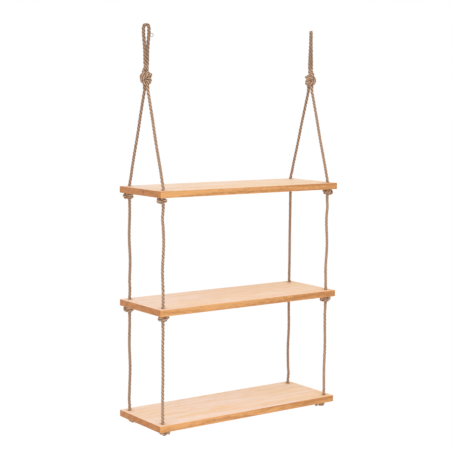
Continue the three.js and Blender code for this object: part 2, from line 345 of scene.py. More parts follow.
@dataclass(frozen=True)
class WoodBlemish:
    """A small dark pin knot on a board's edge, placed from the board's front left corner."""

    radius: float
    along_share: float
    across_share: float
    rise: float = 0.0
    halo: Triple = (150, 98, 62)
    halo_share: float = 0.5
    halo_span_shares: Span = (0.9, 2.2)
    heart: Triple = (96, 58, 40)
    heart_share: float = 0.75
    heart_span_shares: Span = (0.35, 1.1)
    ragged_share: float = 0.6
    ragged: Pattern = Pattern((900.0, 900.0, 900.0))

    def over(self, paint: Paint, colour: Signal, place: Signal, box: Box) -> Signal:
        """Paints the pin knot, with its darker heart, over a colour.

        Args:
            paint: The wood's nodes.
            colour: The wood's colour.
            place: Where on the board a point lies.
            box: The board's lowest and highest corners.

        Returns:
            The colour with the pin knot.
        """
        low, high = box
        x, y = low.x + self.along_share * (high.x - low.x), low.y + self.across_share * (high.y - low.y)
        inputs = {0: place, 1: (x, y, (low.z + high.z) / 2 + self.rise)}
        node = paint.node("ShaderNodeVectorMath", {"operation": "DISTANCE"}, inputs)
        ragged = paint.noise(place, self.ragged) * (self.ragged_share * self.radius)
        distance = paint.output(node, "Value") + ragged
        for tone, share, shares in (
            (self.halo, self.halo_share, self.halo_span_shares),
            (self.heart, self.heart_share, self.heart_span_shares),
        ):
            span = self.radius * shares[0], self.radius * shares[1]
            colour = paint.mix((1.0 - paint.step(distance, span)) * share, colour, linear(tone))
        return colour


@dataclass(frozen=True)
class OiledWood:
    """Pale solid wood with golden brown edges, under a clear finish; the faces' paleness is partly a painted
    sheen.
    """

    face_pale: Triple = (246, 224, 210)
    face_rosy: Triple = (246, 217, 193)
    face_warm: Triple = (244, 206, 162)
    face_late: Triple = (226, 175, 124)
    edge_light: Triple = (227, 167, 106)
    edge_dark: Triple = (186, 124, 69)
    end_light: Triple = (200, 134, 80)
    end_dark: Triple = (154, 98, 55)
    # Golden tone for the stain round the rope holes and for the painted highlight on the eased edges
    golden_stain_and_highlight: Triple = (234, 164, 88)

    fibre: Pattern = Pattern((26.0, 900.0, 900.0), 3.0, 0.6)
    speckle: Pattern = Pattern((210.0, 1000.0, 1000.0), 2.0, 0.6)
    streak: Pattern = Pattern((5.0, 85.0, 85.0), 3.0, 0.55, 0.8)
    grains: Pattern = Pattern((70.0, 300.0, 300.0), 2.0, 0.6)
    haze: Pattern = Pattern((5.0, 40.0, 40.0), 3.0, 0.6)
    patches: Pattern = Pattern((6.0, 60.0, 60.0), 4.0, 0.7, 0.4)
    flecks: Pattern = Pattern((40.0, 260.0, 260.0), 3.0, 0.6)
    sway: Pattern = Pattern((2.6, 9.0, 9.0), 1.0, 0.4)
    ripple: Pattern = Pattern((9.0, 60.0, 60.0))
    ragged: Pattern = Pattern((160.0, 160.0, 160.0))

    pith_below: float = 0.075
    pith_behind: float = 0.03
    ring_width: float = 0.013
    ring_sway: float = 0.045
    ring_ripple: float = 0.006

    edge_shares: Shares = (0.25, 0.45, 0.25, 0.12)
    # How much darker the edges are painted towards the right, as painted shade
    edge_shade_drift: float = 0.4
    edge_span: Span = (0.36, 0.68)
    end_shares: Shares = (0.5, 0.45, 0.1)
    end_span: Span = (0.3, 0.85)
    endward_span: Span = (0.6, 0.85)
    face_colour_and_sheen_span: Span = (0.55, 0.95)
    flat_span: Span = (0.8, 0.99)
    # How strongly the painted highlight shows on the eased edges
    edge_highlight_share: float = 0.55

    rosy_span: Span = (0.38, 0.6)
    golden_shares: Shares = (0.6, 0.2, 0.2)
    golden_span: Span = (0.42, 0.6)
    # How much more golden the faces turn towards the right, which leaves a painted sheen on the left
    face_sheen_drift: float = 0.25
    warm_share: float = 0.85
    late_share: float = 0.3
    fleck_span: Span = (0.48, 0.72)

    stain_span: Span = (0.00385, 0.0176)
    stain_ragged: float = 0.0055
    stain_share: float = 0.6

    least_rough: float = 0.44
    rough_shares: Shares = (0.12, 0.08)
    relief_shares: Shares = (0.7, 0.3)
    relief: float = 0.00012
    bump_strength: float = 0.5
    shine: float = 0.35

    def material(
        self, name: str, shift: Triple, hole: Span, blemishes: Sequence[WoodBlemish], box: Box
    ) -> bpy.types.Material:
        """Builds the wood of one board.

        Args:
            name: The material's name.
            shift: Where in the tree the board was cut, in metres.
            hole: How far the holes lie from the board's middle, along and across.
            blemishes: The pin knots on its edges.
            box: The board's lowest and highest corners.

        Returns:
            The material.
        """
        paint = Paint(name)
        place = paint.coordinates("Object")
        grain = paint.scaled(place, (1.0, 1.0, 1.0), shift)
        late = self._late_wood(paint, grain)
        patterns = self.fibre, self.speckle, self.streak, self.grains
        fibre, speckle, streak, grains = (paint.noise(grain, pattern) for pattern in patterns)
        along, across, up = (abs(part) for part in paint.parts(paint.coordinates("Normal")))
        rightward = paint.parts(place)[0]
        # The edges are painted darker towards the right as painted shade
        tone = blended(self.edge_shares, speckle, grains, streak, late) + rightward * self.edge_shade_drift
        edge = paint.mix(paint.step(tone, self.edge_span), linear(self.edge_light), linear(self.edge_dark))
        tone = blended(self.end_shares, speckle, streak, late)
        end = paint.mix(paint.step(tone, self.end_span), linear(self.end_light), linear(self.end_dark))
        side = paint.mix(paint.step(along, self.endward_span), edge, end)
        face = self._face(paint, grain, late, streak, rightward)
        face = paint.mix(self._stain(paint, place, hole), face, linear(self.golden_stain_and_highlight))
        # Faces that look up or down take the pale colours and the rest the edge and end colours, partly the
        # wood's own colours and partly a painted sheen on the faces
        colour = paint.mix(paint.step(up, self.face_colour_and_sheen_span), side, face)
        # A painted highlight, in orange, along the eased edges and round corners
        eased = 1.0 - paint.step(up.largest(across).largest(along), self.flat_span)
        colour = paint.mix(eased * self.edge_highlight_share, colour, linear(self.golden_stain_and_highlight))
        for blemish in blemishes:
            colour = blemish.over(paint, colour, place, box)
        return paint.finish(
            Base_Color=colour,
            Roughness=blended(self.rough_shares, streak, speckle) + self.least_rough,
            Normal=paint.bump(blended(self.relief_shares, fibre, late), self.relief, self.bump_strength),
            Specular_IOR_Level=self.shine,
        )

    def _face(self, paint: Paint, grain: Signal, late: Signal, streak: Signal, rightward: Signal) -> Signal:
        """Paints the pale flat-sawn faces, pale partly by a painted sheen, with golden patches and short
        flecks along the grain.

        Args:
            paint: The material's nodes.
            grain: Where in the tree a point lies.
            late: The dark late wood of the rings, from 0 to 1.
            streak: Long soft streaks along the grain, from 0 to 1.
            rightward: How far right on the board a point lies, in metres.

        Returns:
            The colour.
        """
        patterns = self.haze, self.patches, self.flecks
        haze, patches, flecks = (paint.noise(grain, pattern) for pattern in patterns)
        # More golden towards the right, leaving a painted sheen on the left
        golden = blended(self.golden_shares, patches, flecks, streak) + rightward * self.face_sheen_drift
        face = paint.mix(paint.step(haze, self.rosy_span), linear(self.face_pale), linear(self.face_rosy))
        face = paint.mix(paint.step(golden, self.golden_span) * self.warm_share, face, linear(self.face_warm))
        for dark in (late * haze, paint.step(flecks, self.fleck_span)):
            face = paint.mix(dark * self.late_share, face, linear(self.face_late))
        return face

    def _late_wood(self, paint: Paint, grain: Signal) -> Signal:
        """Finds the dark late wood of the yearly rings.

        Args:
            paint: The material's nodes.
            grain: Where in the tree a point lies.

        Returns:
            The late wood, from 0 to 1.
        """
        _, across, up = paint.parts(grain)
        radius = diagonal(up + self.pith_below, across + self.pith_behind)
        radius += paint.noise(grain, self.sway) * self.ring_sway
        radius += paint.noise(grain, self.ripple) * self.ring_ripple
        return ((radius * (TURN / self.ring_width)).sine() * 0.5 + 0.5) ** 2

    def _stain(self, paint: Paint, place: Signal, hole: Span) -> Signal:
        """Finds where the finish gathers round the rope holes.

        Args:
            paint: The material's nodes.
            place: Where on the board a point lies.
            hole: How far the holes lie from the board's middle, along and across.

        Returns:
            How golden the wood is.
        """
        along, across, _ = (abs(part) for part in paint.parts(place))
        distance = diagonal(along - hole[0], across - hole[1])
        ragged = distance + paint.noise(place, self.ragged) * self.stain_ragged
        return (1.0 - paint.step(ragged, self.stain_span)) * self.stain_share


@dataclass(frozen=True)
class Jute:
    """Three-strand jute: dull brown fibre with lighter and darker yarns."""

    light: Triple = (213, 182, 156)
    middle: Triple = (185, 149, 121)
    dark: Triple = (150, 112, 85)
    # Painted shade in the grooves between the strands
    groove_shade: Triple = (92, 62, 45)
    # A darker tone laid over the loop and the rear lines
    darkened_tone: Triple = (112, 86, 68)

    streaks: Pattern = Pattern((6.0, 6.0, 1.2), 3.0, 0.65)
    hairs: Pattern = Pattern((26.0, 26.0, 3.4), 2.0, 0.6)
    patches: Pattern = Pattern((1.4, 1.4, 3.0))

    tone_shares: Shares = (0.4, 0.3, 0.2, 0.25, 0.02)
    middle_span: Span = (0.34, 0.6)
    light_span: Span = (0.52, 0.8)
    groove_shade_span: Span = (0.32, 0.95)
    groove_shade_share: float = 0.7
    groove_shade_loss_share: float = 0.05
    darkening_share: float = 0.42
    least_rough: float = 0.82
    rough_share: float = 0.16
    relief_shares: Shares = (0.6, 0.4)
    relief: float = 0.0004
    bump_strength: float = 0.8
    shine: float = 0.18
    sheen: float = 0.12
    sheen_rough: float = 0.6

    def material(self, name: str) -> bpy.types.Material:
        """Builds the jute of every rope.

        Args:
            name: The material's name.

        Returns:
            The material.
        """
        paint = Paint(name)
        yarn = paint.attribute("yarn")
        depth, strand, darkening = paint.parts(paint.attribute("strand"))
        patterns = self.streaks, self.hairs, self.patches
        streaks, hairs, patches = (paint.noise(yarn, pattern) for pattern in patterns)
        # The tone darkens from each strand's crest into its groove as painted shade, besides the yarns' own
        # streaks, hairs, patches and strand tints
        tone = blended(self.tone_shares, streaks, hairs, patches, 1.0 - depth, strand)
        colour = paint.mix(paint.step(tone, self.middle_span), linear(self.dark), linear(self.middle))
        colour = paint.mix(paint.step(tone, self.light_span), colour, linear(self.light))
        # Painted shade in the grooves between the strands, a little less where the jute is painted darker
        groove = paint.step(depth, self.groove_shade_span) * (self.groove_shade_share - darkening * self.groove_shade_loss_share)
        colour = paint.mix(groove, colour, linear(self.groove_shade))
        # The jute is painted darker by each part's share, most on the loop and the rear lines
        colour = paint.mix(darkening * self.darkening_share, colour, linear(self.darkened_tone))
        return paint.finish(
            Base_Color=colour,
            Roughness=self.least_rough + hairs * self.rough_share,
            Normal=paint.bump(blended(self.relief_shares, streaks, hairs), self.relief, self.bump_strength),
            Specular_IOR_Level=self.shine,
            Sheen_Weight=self.sheen,
            Sheen_Roughness=self.sheen_rough,
        )


@dataclass(frozen=True)
class StudioWhite:
    """A matt white floor."""

    colour: Triple = WHITE
    rough: float = 0.95

    def material(self, name: str) -> bpy.types.Material:
        """Builds the floor's white, which shows as the white of the backdrop."""
        colour = linear(self.colour)
        return Paint(name).finish(Base_Color=colour, Roughness=self.rough, Specular_IOR_Level=0.0)


# The studio


@dataclass(frozen=True)
class StudioCamera:
    """The camera, where the photograph's view puts it."""

    azimuth: float = -35.74
    elevation: float = 6.4
    roll: float = 0.48
    distance: float = 2.417
    lens: float = 95.83
    sensor: float = 36.0
    farthest: float = 100.0
    aim: Triple = (-0.0080, 0.0059, -0.3891)

    def place(self) -> None:
        """Makes the camera and hands it to the scene."""
        turn, rise, lean = (math.radians(angle) for angle in (self.azimuth, self.elevation, self.roll))
        back = Vector((math.sin(turn) * math.cos(rise), -math.cos(turn) * math.cos(rise), math.sin(rise)))
        right = Vector((math.cos(turn), math.sin(turn), 0.0))
        up = back.cross(right)
        rolled = math.cos(lean) * right + math.sin(lean) * up
        upright = math.cos(lean) * up - math.sin(lean) * right
        data = bpy.data.cameras.new("photo_camera")
        data.lens = self.lens
        data.sensor_width = self.sensor
        data.clip_end = self.farthest
        camera = bpy.data.objects.new("photo_camera", data)
        bpy.context.scene.collection.objects.link(camera)
        axes = Matrix((rolled, upright, back)).transposed()
        camera.matrix_world = Matrix.Translation(Vector(self.aim) + back * self.distance) @ axes.to_4x4()
        bpy.context.scene.camera = camera


@dataclass(frozen=True)
class SoftSun:
    """A wide, far lamp that lights the object and the whole floor alike."""

    towards: Triple = (0.44, 0.64, -0.64)
    strength: float = 0.85
    spread: float = 70.0

    def hang(self) -> None:
        """Adds the lamp to the scene."""
        data = bpy.data.lights.new("key_lamp", "SUN")
        data.energy = self.strength
        data.angle = math.radians(self.spread)
        lamp = bpy.data.objects.new("key_lamp", data)
        bpy.context.scene.collection.objects.link(lamp)
        lamp.rotation_euler = Vector(self.towards).to_track_quat("-Z", "Y").to_euler()


@dataclass(frozen=True)
class Studio:
    """A white room with even light."""

    world_light: float = 0.84
    floor_drop: float = 0.55
    floor_size: float = 60.0
    camera: StudioCamera = StudioCamera()
    key: SoftSun = SoftSun()

    def build(self, lowest: float) -> None:
        """Sets up the world, the lamp, the floor and the colour handling.

        Args:
            lowest: The height of the object's lowest point.
        """
        bpy.context.scene.view_settings.view_transform = "Standard"
        self._light_world()
        self.key.hang()
        half, height = self.floor_size / 2, lowest - self.floor_drop
        corners = [(x * half, y * half, height) for x, y in ((-1, -1), (1, -1), (1, 1), (-1, 1))]
        mesh = bpy.data.meshes.new("studio_floor")
        mesh.from_pydata(corners, [], [(0, 1, 2, 3)])
        new_piece("studio_floor", mesh, StudioWhite().material("studio_white"))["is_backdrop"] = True
        LOG.info("studio: floor %.2f m under the shelf", self.floor_drop)

    def _light_world(self) -> None:
        """Lights the room from all round, and shows white to the camera and in reflections."""
        sky = NodeBuilder(bpy.data.worlds.new("studio_world"), "ShaderNodeOutputWorld")
        path = sky.node("ShaderNodeLightPath")
        rays = "Camera", "Glossy", "Transmission"
        camera, glossy, through = (sky.output(path, f"Is {ray} Ray") for ray in rays)
        strength = camera.largest(glossy).largest(through) * (1.0 - self.world_light) + self.world_light
        inputs = {"Color": linear(WHITE), "Strength": strength}
        bpy.context.scene.world = sky.close(sky.node("ShaderNodeBackground", None, inputs))


# Meshes


def new_piece(name: str, mesh: bpy.types.Mesh, material: bpy.types.Material) -> bpy.types.Object:
    """Puts a mesh into the scene as one piece.

    Args:
        name: The piece's name.
        mesh: Its mesh.
        material: Its finish.

    Returns:
        The piece.
    """
    mesh.materials.append(material)
    piece = bpy.data.objects.new(name, mesh)
    bpy.context.scene.collection.objects.link(piece)
    return piece


def unit(vector: Array) -> Array:
    """A vector's direction."""
    return vector / np.linalg.norm(vector)


def travelled(line: Array) -> Array:
    """How far along a line each of its points is, which come one row each."""
    return np.concatenate([[0.0], np.cumsum(np.linalg.norm(np.diff(line, axis=0), axis=1))])


def blurred(values: Array, passes: int) -> Array:
    """Evens out steps in a row of values, or kinks in a line.

    Args:
        values: The values or points, one row each.
        passes: How often each one, but for both ends, is drawn halfway to its neighbours.

    Returns:
        The new values.
    """
    even = values.copy()
    for _ in range(passes):
        even[1:-1] = 0.5 * even[1:-1] + 0.25 * (even[:-2] + even[2:])
    return even


def tube_rings(node: bpy.types.Object, start: Vector) -> Array:
    """Finds the centres of a tube's rings by walking over its mesh from one end.

    Args:
        node: A tube in the frame whose mesh has rings of corners.
        start: The middle of the end to start from.

    Returns:
        The centres in order, one row each, in metres.
    """
    mesh = node.data
    flat = np.empty(3 * len(mesh.vertices))
    mesh.vertices.foreach_get("co", flat)
    corners, index = np.unique(flat.reshape(-1, 3).round(6), axis=0, return_inverse=True)
    index = index.reshape(-1)
    neighbours: list[set[int]] = [set() for _ in corners]
    for edge in mesh.edges:
        a, b = (int(index[v]) for v in edge.vertices)
        neighbours[a].add(b)
        neighbours[b].add(a)
    distances = np.linalg.norm(corners - np.array(start), axis=1)
    ring = set(np.flatnonzero(distances < distances.min() + RING_TOLERANCE).tolist())
    seen = set(ring)
    centres = []
    while ring:
        centres.append(corners[sorted(ring)].mean(axis=0))
        ring = {n for corner in ring for n in neighbours[corner]} - seen
        seen |= ring
    return np.array(centres)


def spline_stretch(four: Sequence[Array]) -> Array:
    """Draws a smooth curve from the second of four points to the third.

    Args:
        four: The points, in order.

    Returns:
        The curve's points without its last one, one row each.
    """
    steps = [max(np.linalg.norm(q - p), LEAST_STEP) ** 0.5 for p, q in zip(four, four[1:])]
    knots = np.cumsum([0.0, *steps])
    t = knots[1] + np.linspace(0.0, 1.0, SPLINE_SAMPLES, endpoint=False)[:, None] * (knots[2] - knots[1])
    rows = list(four)
    for spans in (((0, 1), (1, 2), (2, 3)), ((0, 2), (1, 3)), ((1, 2),)):
        rows = [
            ((knots[high] - t) * before + (t - knots[low]) * after) / (knots[high] - knots[low])
            for (low, high), before, after in zip(spans, rows, rows[1:])
        ]
    return rows[0]


def smooth_line(points: Array, spacing: float) -> Array:
    """Draws an even, smooth line through points.

    Args:
        points: The points, one row each.
        spacing: About how far apart the new points are.

    Returns:
        The line's points, the first and last ones kept.
    """
    ends = np.vstack([2 * points[0] - points[1], points, 2 * points[-1] - points[-2]])
    line = np.vstack([*(spline_stretch(ends[n : n + 4]) for n in range(len(ends) - 3)), points[-1:]])
    along = travelled(line)
    places = np.linspace(0.0, along[-1], max(2, round(along[-1] / spacing) + 1))
    return np.column_stack([np.interp(places, along, column) for column in line.T])


def carried_frames(line: Array) -> Frames:
    """Finds two directions across a line at each point, carried along it without twisting.

    Args:
        line: The line's points, one row each.

    Returns:
        The two directions, at right angles to the line and to each other.
    """
    tangents = np.gradient(line, axis=0)
    tangents /= np.linalg.norm(tangents, axis=1)[:, None]
    sides = [unit(np.cross(tangents[0], (0.0, 1.0, 0.0)))]
    for tangent in tangents[1:]:
        sides.append(unit(sides[-1] - np.dot(sides[-1], tangent) * tangent))
    return np.array(sides), np.cross(tangents, sides)


def ring_points(line: Array, frames: Frames, angles: Array, reach: Array) -> Array:
    """Places a ring of points round each point of a line, at angles and distances with a row for each."""
    outward = np.cos(angles)[..., None] * frames[0][:, None] + np.sin(angles)[..., None] * frames[1][:, None]
    return (line[:, None] + reach[..., None] * outward).reshape(-1, 3)


def tube_faces(rows: int, sides: int) -> Faces:
    """Lists the faces of a closed tube whose points come ring by ring.

    Args:
        rows: How many rings it has.
        sides: How many points each ring has.

    Returns:
        The corners of each face, with one face across each end.
    """
    walls = [
        (base + k, base + (k + 1) % sides, base + sides + (k + 1) % sides, base + sides + k)
        for base in range(0, (rows - 1) * sides, sides)
        for k in range(sides)
    ]
    last = (rows - 1) * sides
    return [*walls, tuple(range(sides - 1, -1, -1)), tuple(range(last, last + sides))]


def thin_tube(path: Array, radii: Span, sides: int) -> tuple[Array, Faces]:
    """The points and faces of a thin closed tube along a path, with its radii at both ends."""
    angles, taper = np.arange(sides)[None] * TURN / sides, np.linspace(*radii, len(path))[:, None]
    return ring_points(path, carried_frames(path), angles, taper), tube_faces(len(path), sides)


@dataclass
class JuteSurface:
    """Closed tubes with the two vectors at each point that the jute finish reads.

    The yarn is the cosine and sine of the point's angle round the rope, and its place along it. The
    strand is the point's depth in the groove, its strand and how much darker the jute is painted there.
    """

    points: Array
    faces: Faces
    yarn: Array
    strand: Array

    @classmethod
    def joined(cls, surfaces: Sequence["JuteSurface"]) -> "JuteSurface":
        """Joins surfaces into one.

        Args:
            surfaces: The surfaces.

        Returns:
            All of them in one.
        """
        starts = np.cumsum([0, *(len(each.points) for each in surfaces)]).tolist()
        return cls(
            np.vstack([each.points for each in surfaces]),
            [tuple(k + start for k in face) for start, each in zip(starts, surfaces) for face in each.faces],
            np.vstack([each.yarn for each in surfaces]),
            np.vstack([each.strand for each in surfaces]),
        )

    def mesh(self, name: str) -> bpy.types.Mesh:
        """Makes the mesh, smooth all over.

        Args:
            name: The mesh's name.

        Returns:
            The mesh.
        """
        mesh = bpy.data.meshes.new(name)
        mesh.from_pydata(self.points.tolist(), [], self.faces)
        for label, values in (("yarn", self.yarn), ("strand", self.strand)):
            layer = mesh.attributes.new(label, "FLOAT_VECTOR", "POINT")
            layer.data.foreach_set("vector", values.astype(np.float32).ravel())
        mesh.shade_smooth()
        return mesh


# The ropes


@dataclass(frozen=True)
class RopePart:
    """A part of a rope that stands for one node of the frame."""

    node: str
    points: Array
    radius: float
    darkening: Span
    taut: bool = False
    stray_share: float = 0.0

    def reversed(self) -> "RopePart":
        """The same part run through the other way."""
        return replace(self, points=self.points[::-1], darkening=self.darkening[::-1])


@dataclass
class LaidRope:
    """Three-strand rope laid along one line, from a rear tail over the loop to a front tail."""

    parts: list[RopePart]
    seed: int
    spacing: float = 0.0011
    line_passes: int = 2
    radius_passes: int = 3
    darkening_passes: int = 40

    lay: float = 0.0207
    strand_count: int = 3
    points_per_strand: int = 11
    strand_offset_share: float = 0.435
    strand_radius_share: float = 0.565
    uneven_turns: tuple[Span, ...] = ((4.3, 0.05), (1.7, 0.03), (11.0, 0.08))

    wander: float = 0.0012
    wander_waves: float = 3.2
    bulge_share: float = 0.1
    bulge_width_share: float = 0.055
    bulge_sizes: Span = (0.6, 1.5)

    def __post_init__(self) -> None:
        """Joins the parts into one even line and finds where each begins."""
        self.draws = np.random.default_rng(self.seed)
        self.bounds = [0]
        lines, radii, darkness = [], [], []
        for part in self.parts:
            even = smooth_line(part.points, self.spacing)
            even = even + part.stray_share * self._wander(len(even))
            lines.append(even[1:] if lines else even)
            radii.append(np.full(len(lines[-1]), part.radius))
            darkness.append(np.linspace(*part.darkening, len(lines[-1])))
            self.bounds.append(self.bounds[-1] + len(even) - 1)
        self.line = blurred(np.vstack(lines), self.line_passes)
        self.radii = blurred(np.concatenate(radii), self.radius_passes)
        self.darkness = blurred(np.concatenate(darkness), self.darkening_passes)
        self.frames = carried_frames(self.line)
        self.along = travelled(self.line)

    def _wander(self, count: int) -> Array:
        """Draws how a taut stretch strays to one side, with a bulge near its start.

        Args:
            count: How many points the stretch has.

        Returns:
            How far each point strays, which is next to nothing at both ends.
        """
        share = np.linspace(0.0, 1.0, count)
        angle, phase = self.draws.uniform(0, TURN, 2)
        sway = np.sin(math.pi * share) * np.sin(self.wander_waves * math.pi * share + phase)
        bulge = np.exp(-(((share - self.bulge_share) / self.bulge_width_share) ** 2))
        strayed = self.wander * (sway + bulge * self.draws.uniform(*self.bulge_sizes))
        return strayed[:, None] * np.array([math.cos(angle), math.sin(angle), 0.0])

    def darkening(self, places: Array | float) -> Array:
        """How much darker the jute is painted at places along the rope."""
        return np.interp(places, self.along, self.darkness)

    def turn(self, places: Array) -> Array:
        """How far round the strands have turned at places along the rope, a little unevenly."""
        waves = [far * np.sin(TURN * places / (lays * self.lay) + lays) for lays, far in self.uneven_turns]
        return -TURN * (places / self.lay + sum(waves))

    def section(self) -> tuple[Array, Array, Array]:
        """Draws the rope's cross-section, three round strands pressed together.

        Returns:
            For each point of the section its angle, its distance from the middle as a share of the
            rope's radius, and how far it is from its strand's crest, from 0 to 1 in the groove.
        """
        half = math.pi / self.strand_count
        local = np.linspace(-half, half, self.points_per_strand, endpoint=False)
        offset, radius = self.strand_offset_share, self.strand_radius_share
        reach = offset * np.cos(local) + np.sqrt(radius**2 - (offset * np.sin(local)) ** 2)
        angles = np.concatenate([local + 2 * half * n for n in range(self.strand_count)])
        return angles, np.tile(reach, self.strand_count), np.tile(np.abs(local) / half, self.strand_count)

    def outward(self, end: int) -> Array:
        """The direction in which the rope ends at its first point, 0, or at its last, -1."""
        inner = 1 if end == 0 else -2
        return unit(self.line[end] - self.line[inner])

    def pieces(self, jute: bpy.types.Material) -> Iterator[tuple[RopePart, bpy.types.Object, Array]]:
        """Makes the piece of each part.

        Args:
            jute: The finish.

        Yields:
            Each part with its piece and the line that the piece follows.
        """
        for part, start, end in zip(self.parts, self.bounds, self.bounds[1:]):
            mesh = PartBuilder(self, part, start, end).mesh(f"{part.node}_jute")
            yield part, new_piece(f"{part.node}_jute", mesh, jute), self.line[start : end + 1]


@dataclass
class PartBuilder:
    """Builds one part's closed tube of laid strands, round at both ends, with its loose fibres."""

    rope: LaidRope
    part: RopePart
    start: int
    end: int

    cap_steps: int = 5
    cap_share: float = 0.97
    tip_share: float = 0.02
    swell_share: float = 0.04
    swell_waves: tuple[Span, ...] = ((0.031, 0.9), (0.0127, 0.7), (0.0059, 0.5))
    swell_peak: float = 1.5
    swell_phases: Span = (2.1, 1.7)

    fibre_segments: int = 5
    fibre_sides: int = 3
    fibre_radii: Span = (0.00007, 0.000021)
    fibre_reach: float = 0.0053
    shortened_share: float = 0.85

    strays_per_metre: float = 620.0
    stray_root_share: float = 0.72
    stray_along: float = 0.8
    stray_around: float = 0.7
    stray_out: Span = (0.1, 0.55)
    stray_length: Span = (0.0025, 0.0085)
    stray_curl: float = 0.5
    stray_inward_share: float = 0.4
    stray_bend_share: float = 0.45

    fray_count: int = 90
    fray_spread_share: float = 0.8
    fray_flare_share: float = 0.9
    fray_start: float = 0.0006
    fray_length: Span = (0.002, 0.007)
    fray_bend_share: float = 0.3

    def mesh(self, name: str) -> bpy.types.Mesh:
        """Makes the mesh of the tube and its fibres."""
        return JuteSurface.joined([self._tube(), *self._fibres()]).mesh(name)

    def _samples(self) -> tuple[Array, Array]:
        """Finds where the tube's rings go, past both ends of the part as domes.

        Returns:
            The rings' places along the rope, and the share of the full radius at each.
        """
        core = self.rope.along[self.start : self.end + 1]
        angles = np.linspace(0.0, math.pi / 2, self.cap_steps + 1)[1:]
        rise, width = self.part.radius * self.cap_share * np.sin(angles), self.cap_share * np.cos(angles)
        places = np.concatenate([(core[0] - rise)[::-1], core, core[-1] + rise])
        shares = np.concatenate([width[::-1], np.ones(len(core)), width])
        return places, np.clip(shares, self.tip_share, 1.0)

    def _tube(self) -> JuteSurface:
        """Makes the closed tube of laid strands.

        Returns:
            The tube.
        """
        rope = self.rope
        places, shares = self._samples()
        centres, frames, radii = self._at(places)
        angles, reach, depth = rope.section()
        strands = np.repeat(np.arange(rope.strand_count), rope.points_per_strand)
        spin = angles[None, :] + rope.turn(places)[:, None]
        distance = (radii * shares)[:, None] * reach[None, :] * self._swell(places, strands)
        yarn = np.broadcast_arrays(np.cos(spin), np.sin(spin), places[:, None] / YARN_LENGTH)
        strand = np.broadcast_arrays(depth, strands - 1.0, rope.darkening(places)[:, None])
        return JuteSurface(
            ring_points(centres, frames, spin, distance),
            tube_faces(len(places), len(angles)),
            np.stack(yarn, axis=-1).reshape(-1, 3),
            np.stack(strand, axis=-1).reshape(-1, 3),
        )

    def _at(self, places: Array) -> tuple[Array, Frames, Array]:
        """Reads the rope at places along it, and straight on past its two ends.

        Args:
            places: The places, in metres from the rear tail.

        Returns:
            The rope's middle, the two directions across it, and its radius.
        """
        rope = self.rope
        line, across, beside = (
            np.column_stack([np.interp(places, rope.along, column) for column in rows.T])
            for rows in (rope.line, *rope.frames)
        )
        for end, beyond in ((0, rope.along[0] - places), (-1, places - rope.along[-1])):
            line += np.clip(beyond, 0, None)[:, None] * rope.outward(end)
        return line, (across, beside), np.interp(places, rope.along, rope.radii)

    def _swell(self, places: Array, strands: Array) -> Array:
        """Lets each strand swell and thin a little along the rope.

        Args:
            places: The places of the rings.
            strands: The strand of each point in a ring.

        Returns:
            The factor for each point's distance from the middle, a row for each ring.
        """
        for_strand, for_wave = self.swell_phases
        total = sum(
            weight * np.sin(TURN * places[:, None] / length + for_strand * strands[None, :] + for_wave * n)
            for n, (length, weight) in enumerate(self.swell_waves)
        )
        return 1 + self.swell_share * (total / self.swell_peak)

    def _fibres(self) -> Iterator[JuteSurface]:
        """Makes every loose fibre.

        Yields:
            One thin tube for each.
        """
        for path, angle, place in [*self._stray_paths(), *self._frayed_paths()]:
            tube, walls = thin_tube(path, self.fibre_radii, self.fibre_sides)
            yarn = math.cos(angle), math.sin(angle), place / YARN_LENGTH
            strand = 0.0, self.rope.draws.uniform(-1, 1), float(self.rope.darkening(place))
            yield JuteSurface(tube, walls, *(np.tile(values, (len(tube), 1)) for values in (yarn, strand)))

    def _stray_paths(self) -> Iterator[tuple[Array, float, float]]:
        """Draws fibres that stand off the rope all along it.

        Yields:
            Each fibre's path, its angle round the rope and its place along it.
        """
        rope, draws = self.rope, self.rope.draws
        first, last = rope.along[self.start], rope.along[self.end]
        places = draws.uniform(first, last, int((last - first) * self.strays_per_metre))
        centres, (across, beside), radii = self._at(places)
        forward = np.cross(across, beside)
        steps = np.linspace(0.0, 1.0, self.fibre_segments + 1)[:, None]
        for centre, a, b, f, radius, place in zip(centres, across, beside, forward, radii, places):
            angle = draws.uniform(0, TURN)
            out = math.cos(angle) * a + math.sin(angle) * b
            around = np.cross(f, out)
            direction = draws.normal(0, self.stray_along) * f + draws.normal(0, self.stray_around) * around
            direction = unit(direction + draws.uniform(*self.stray_out) * out)
            curl = draws.normal(0, self.stray_curl, 3)
            bend = curl[0] * f + curl[1] * around - abs(curl[2]) * self.stray_inward_share * out
            growth = steps * direction + self.stray_bend_share * steps**2 * bend
            path = centre + out * radius * self.stray_root_share + draws.uniform(*self.stray_length) * growth
            ahead = (path - centre) @ f
            if place + ahead.max() > last or place + ahead.min() < first:
                path = path - 2 * ahead[:, None] * f
            yield self._held_close(path), angle, float(place)

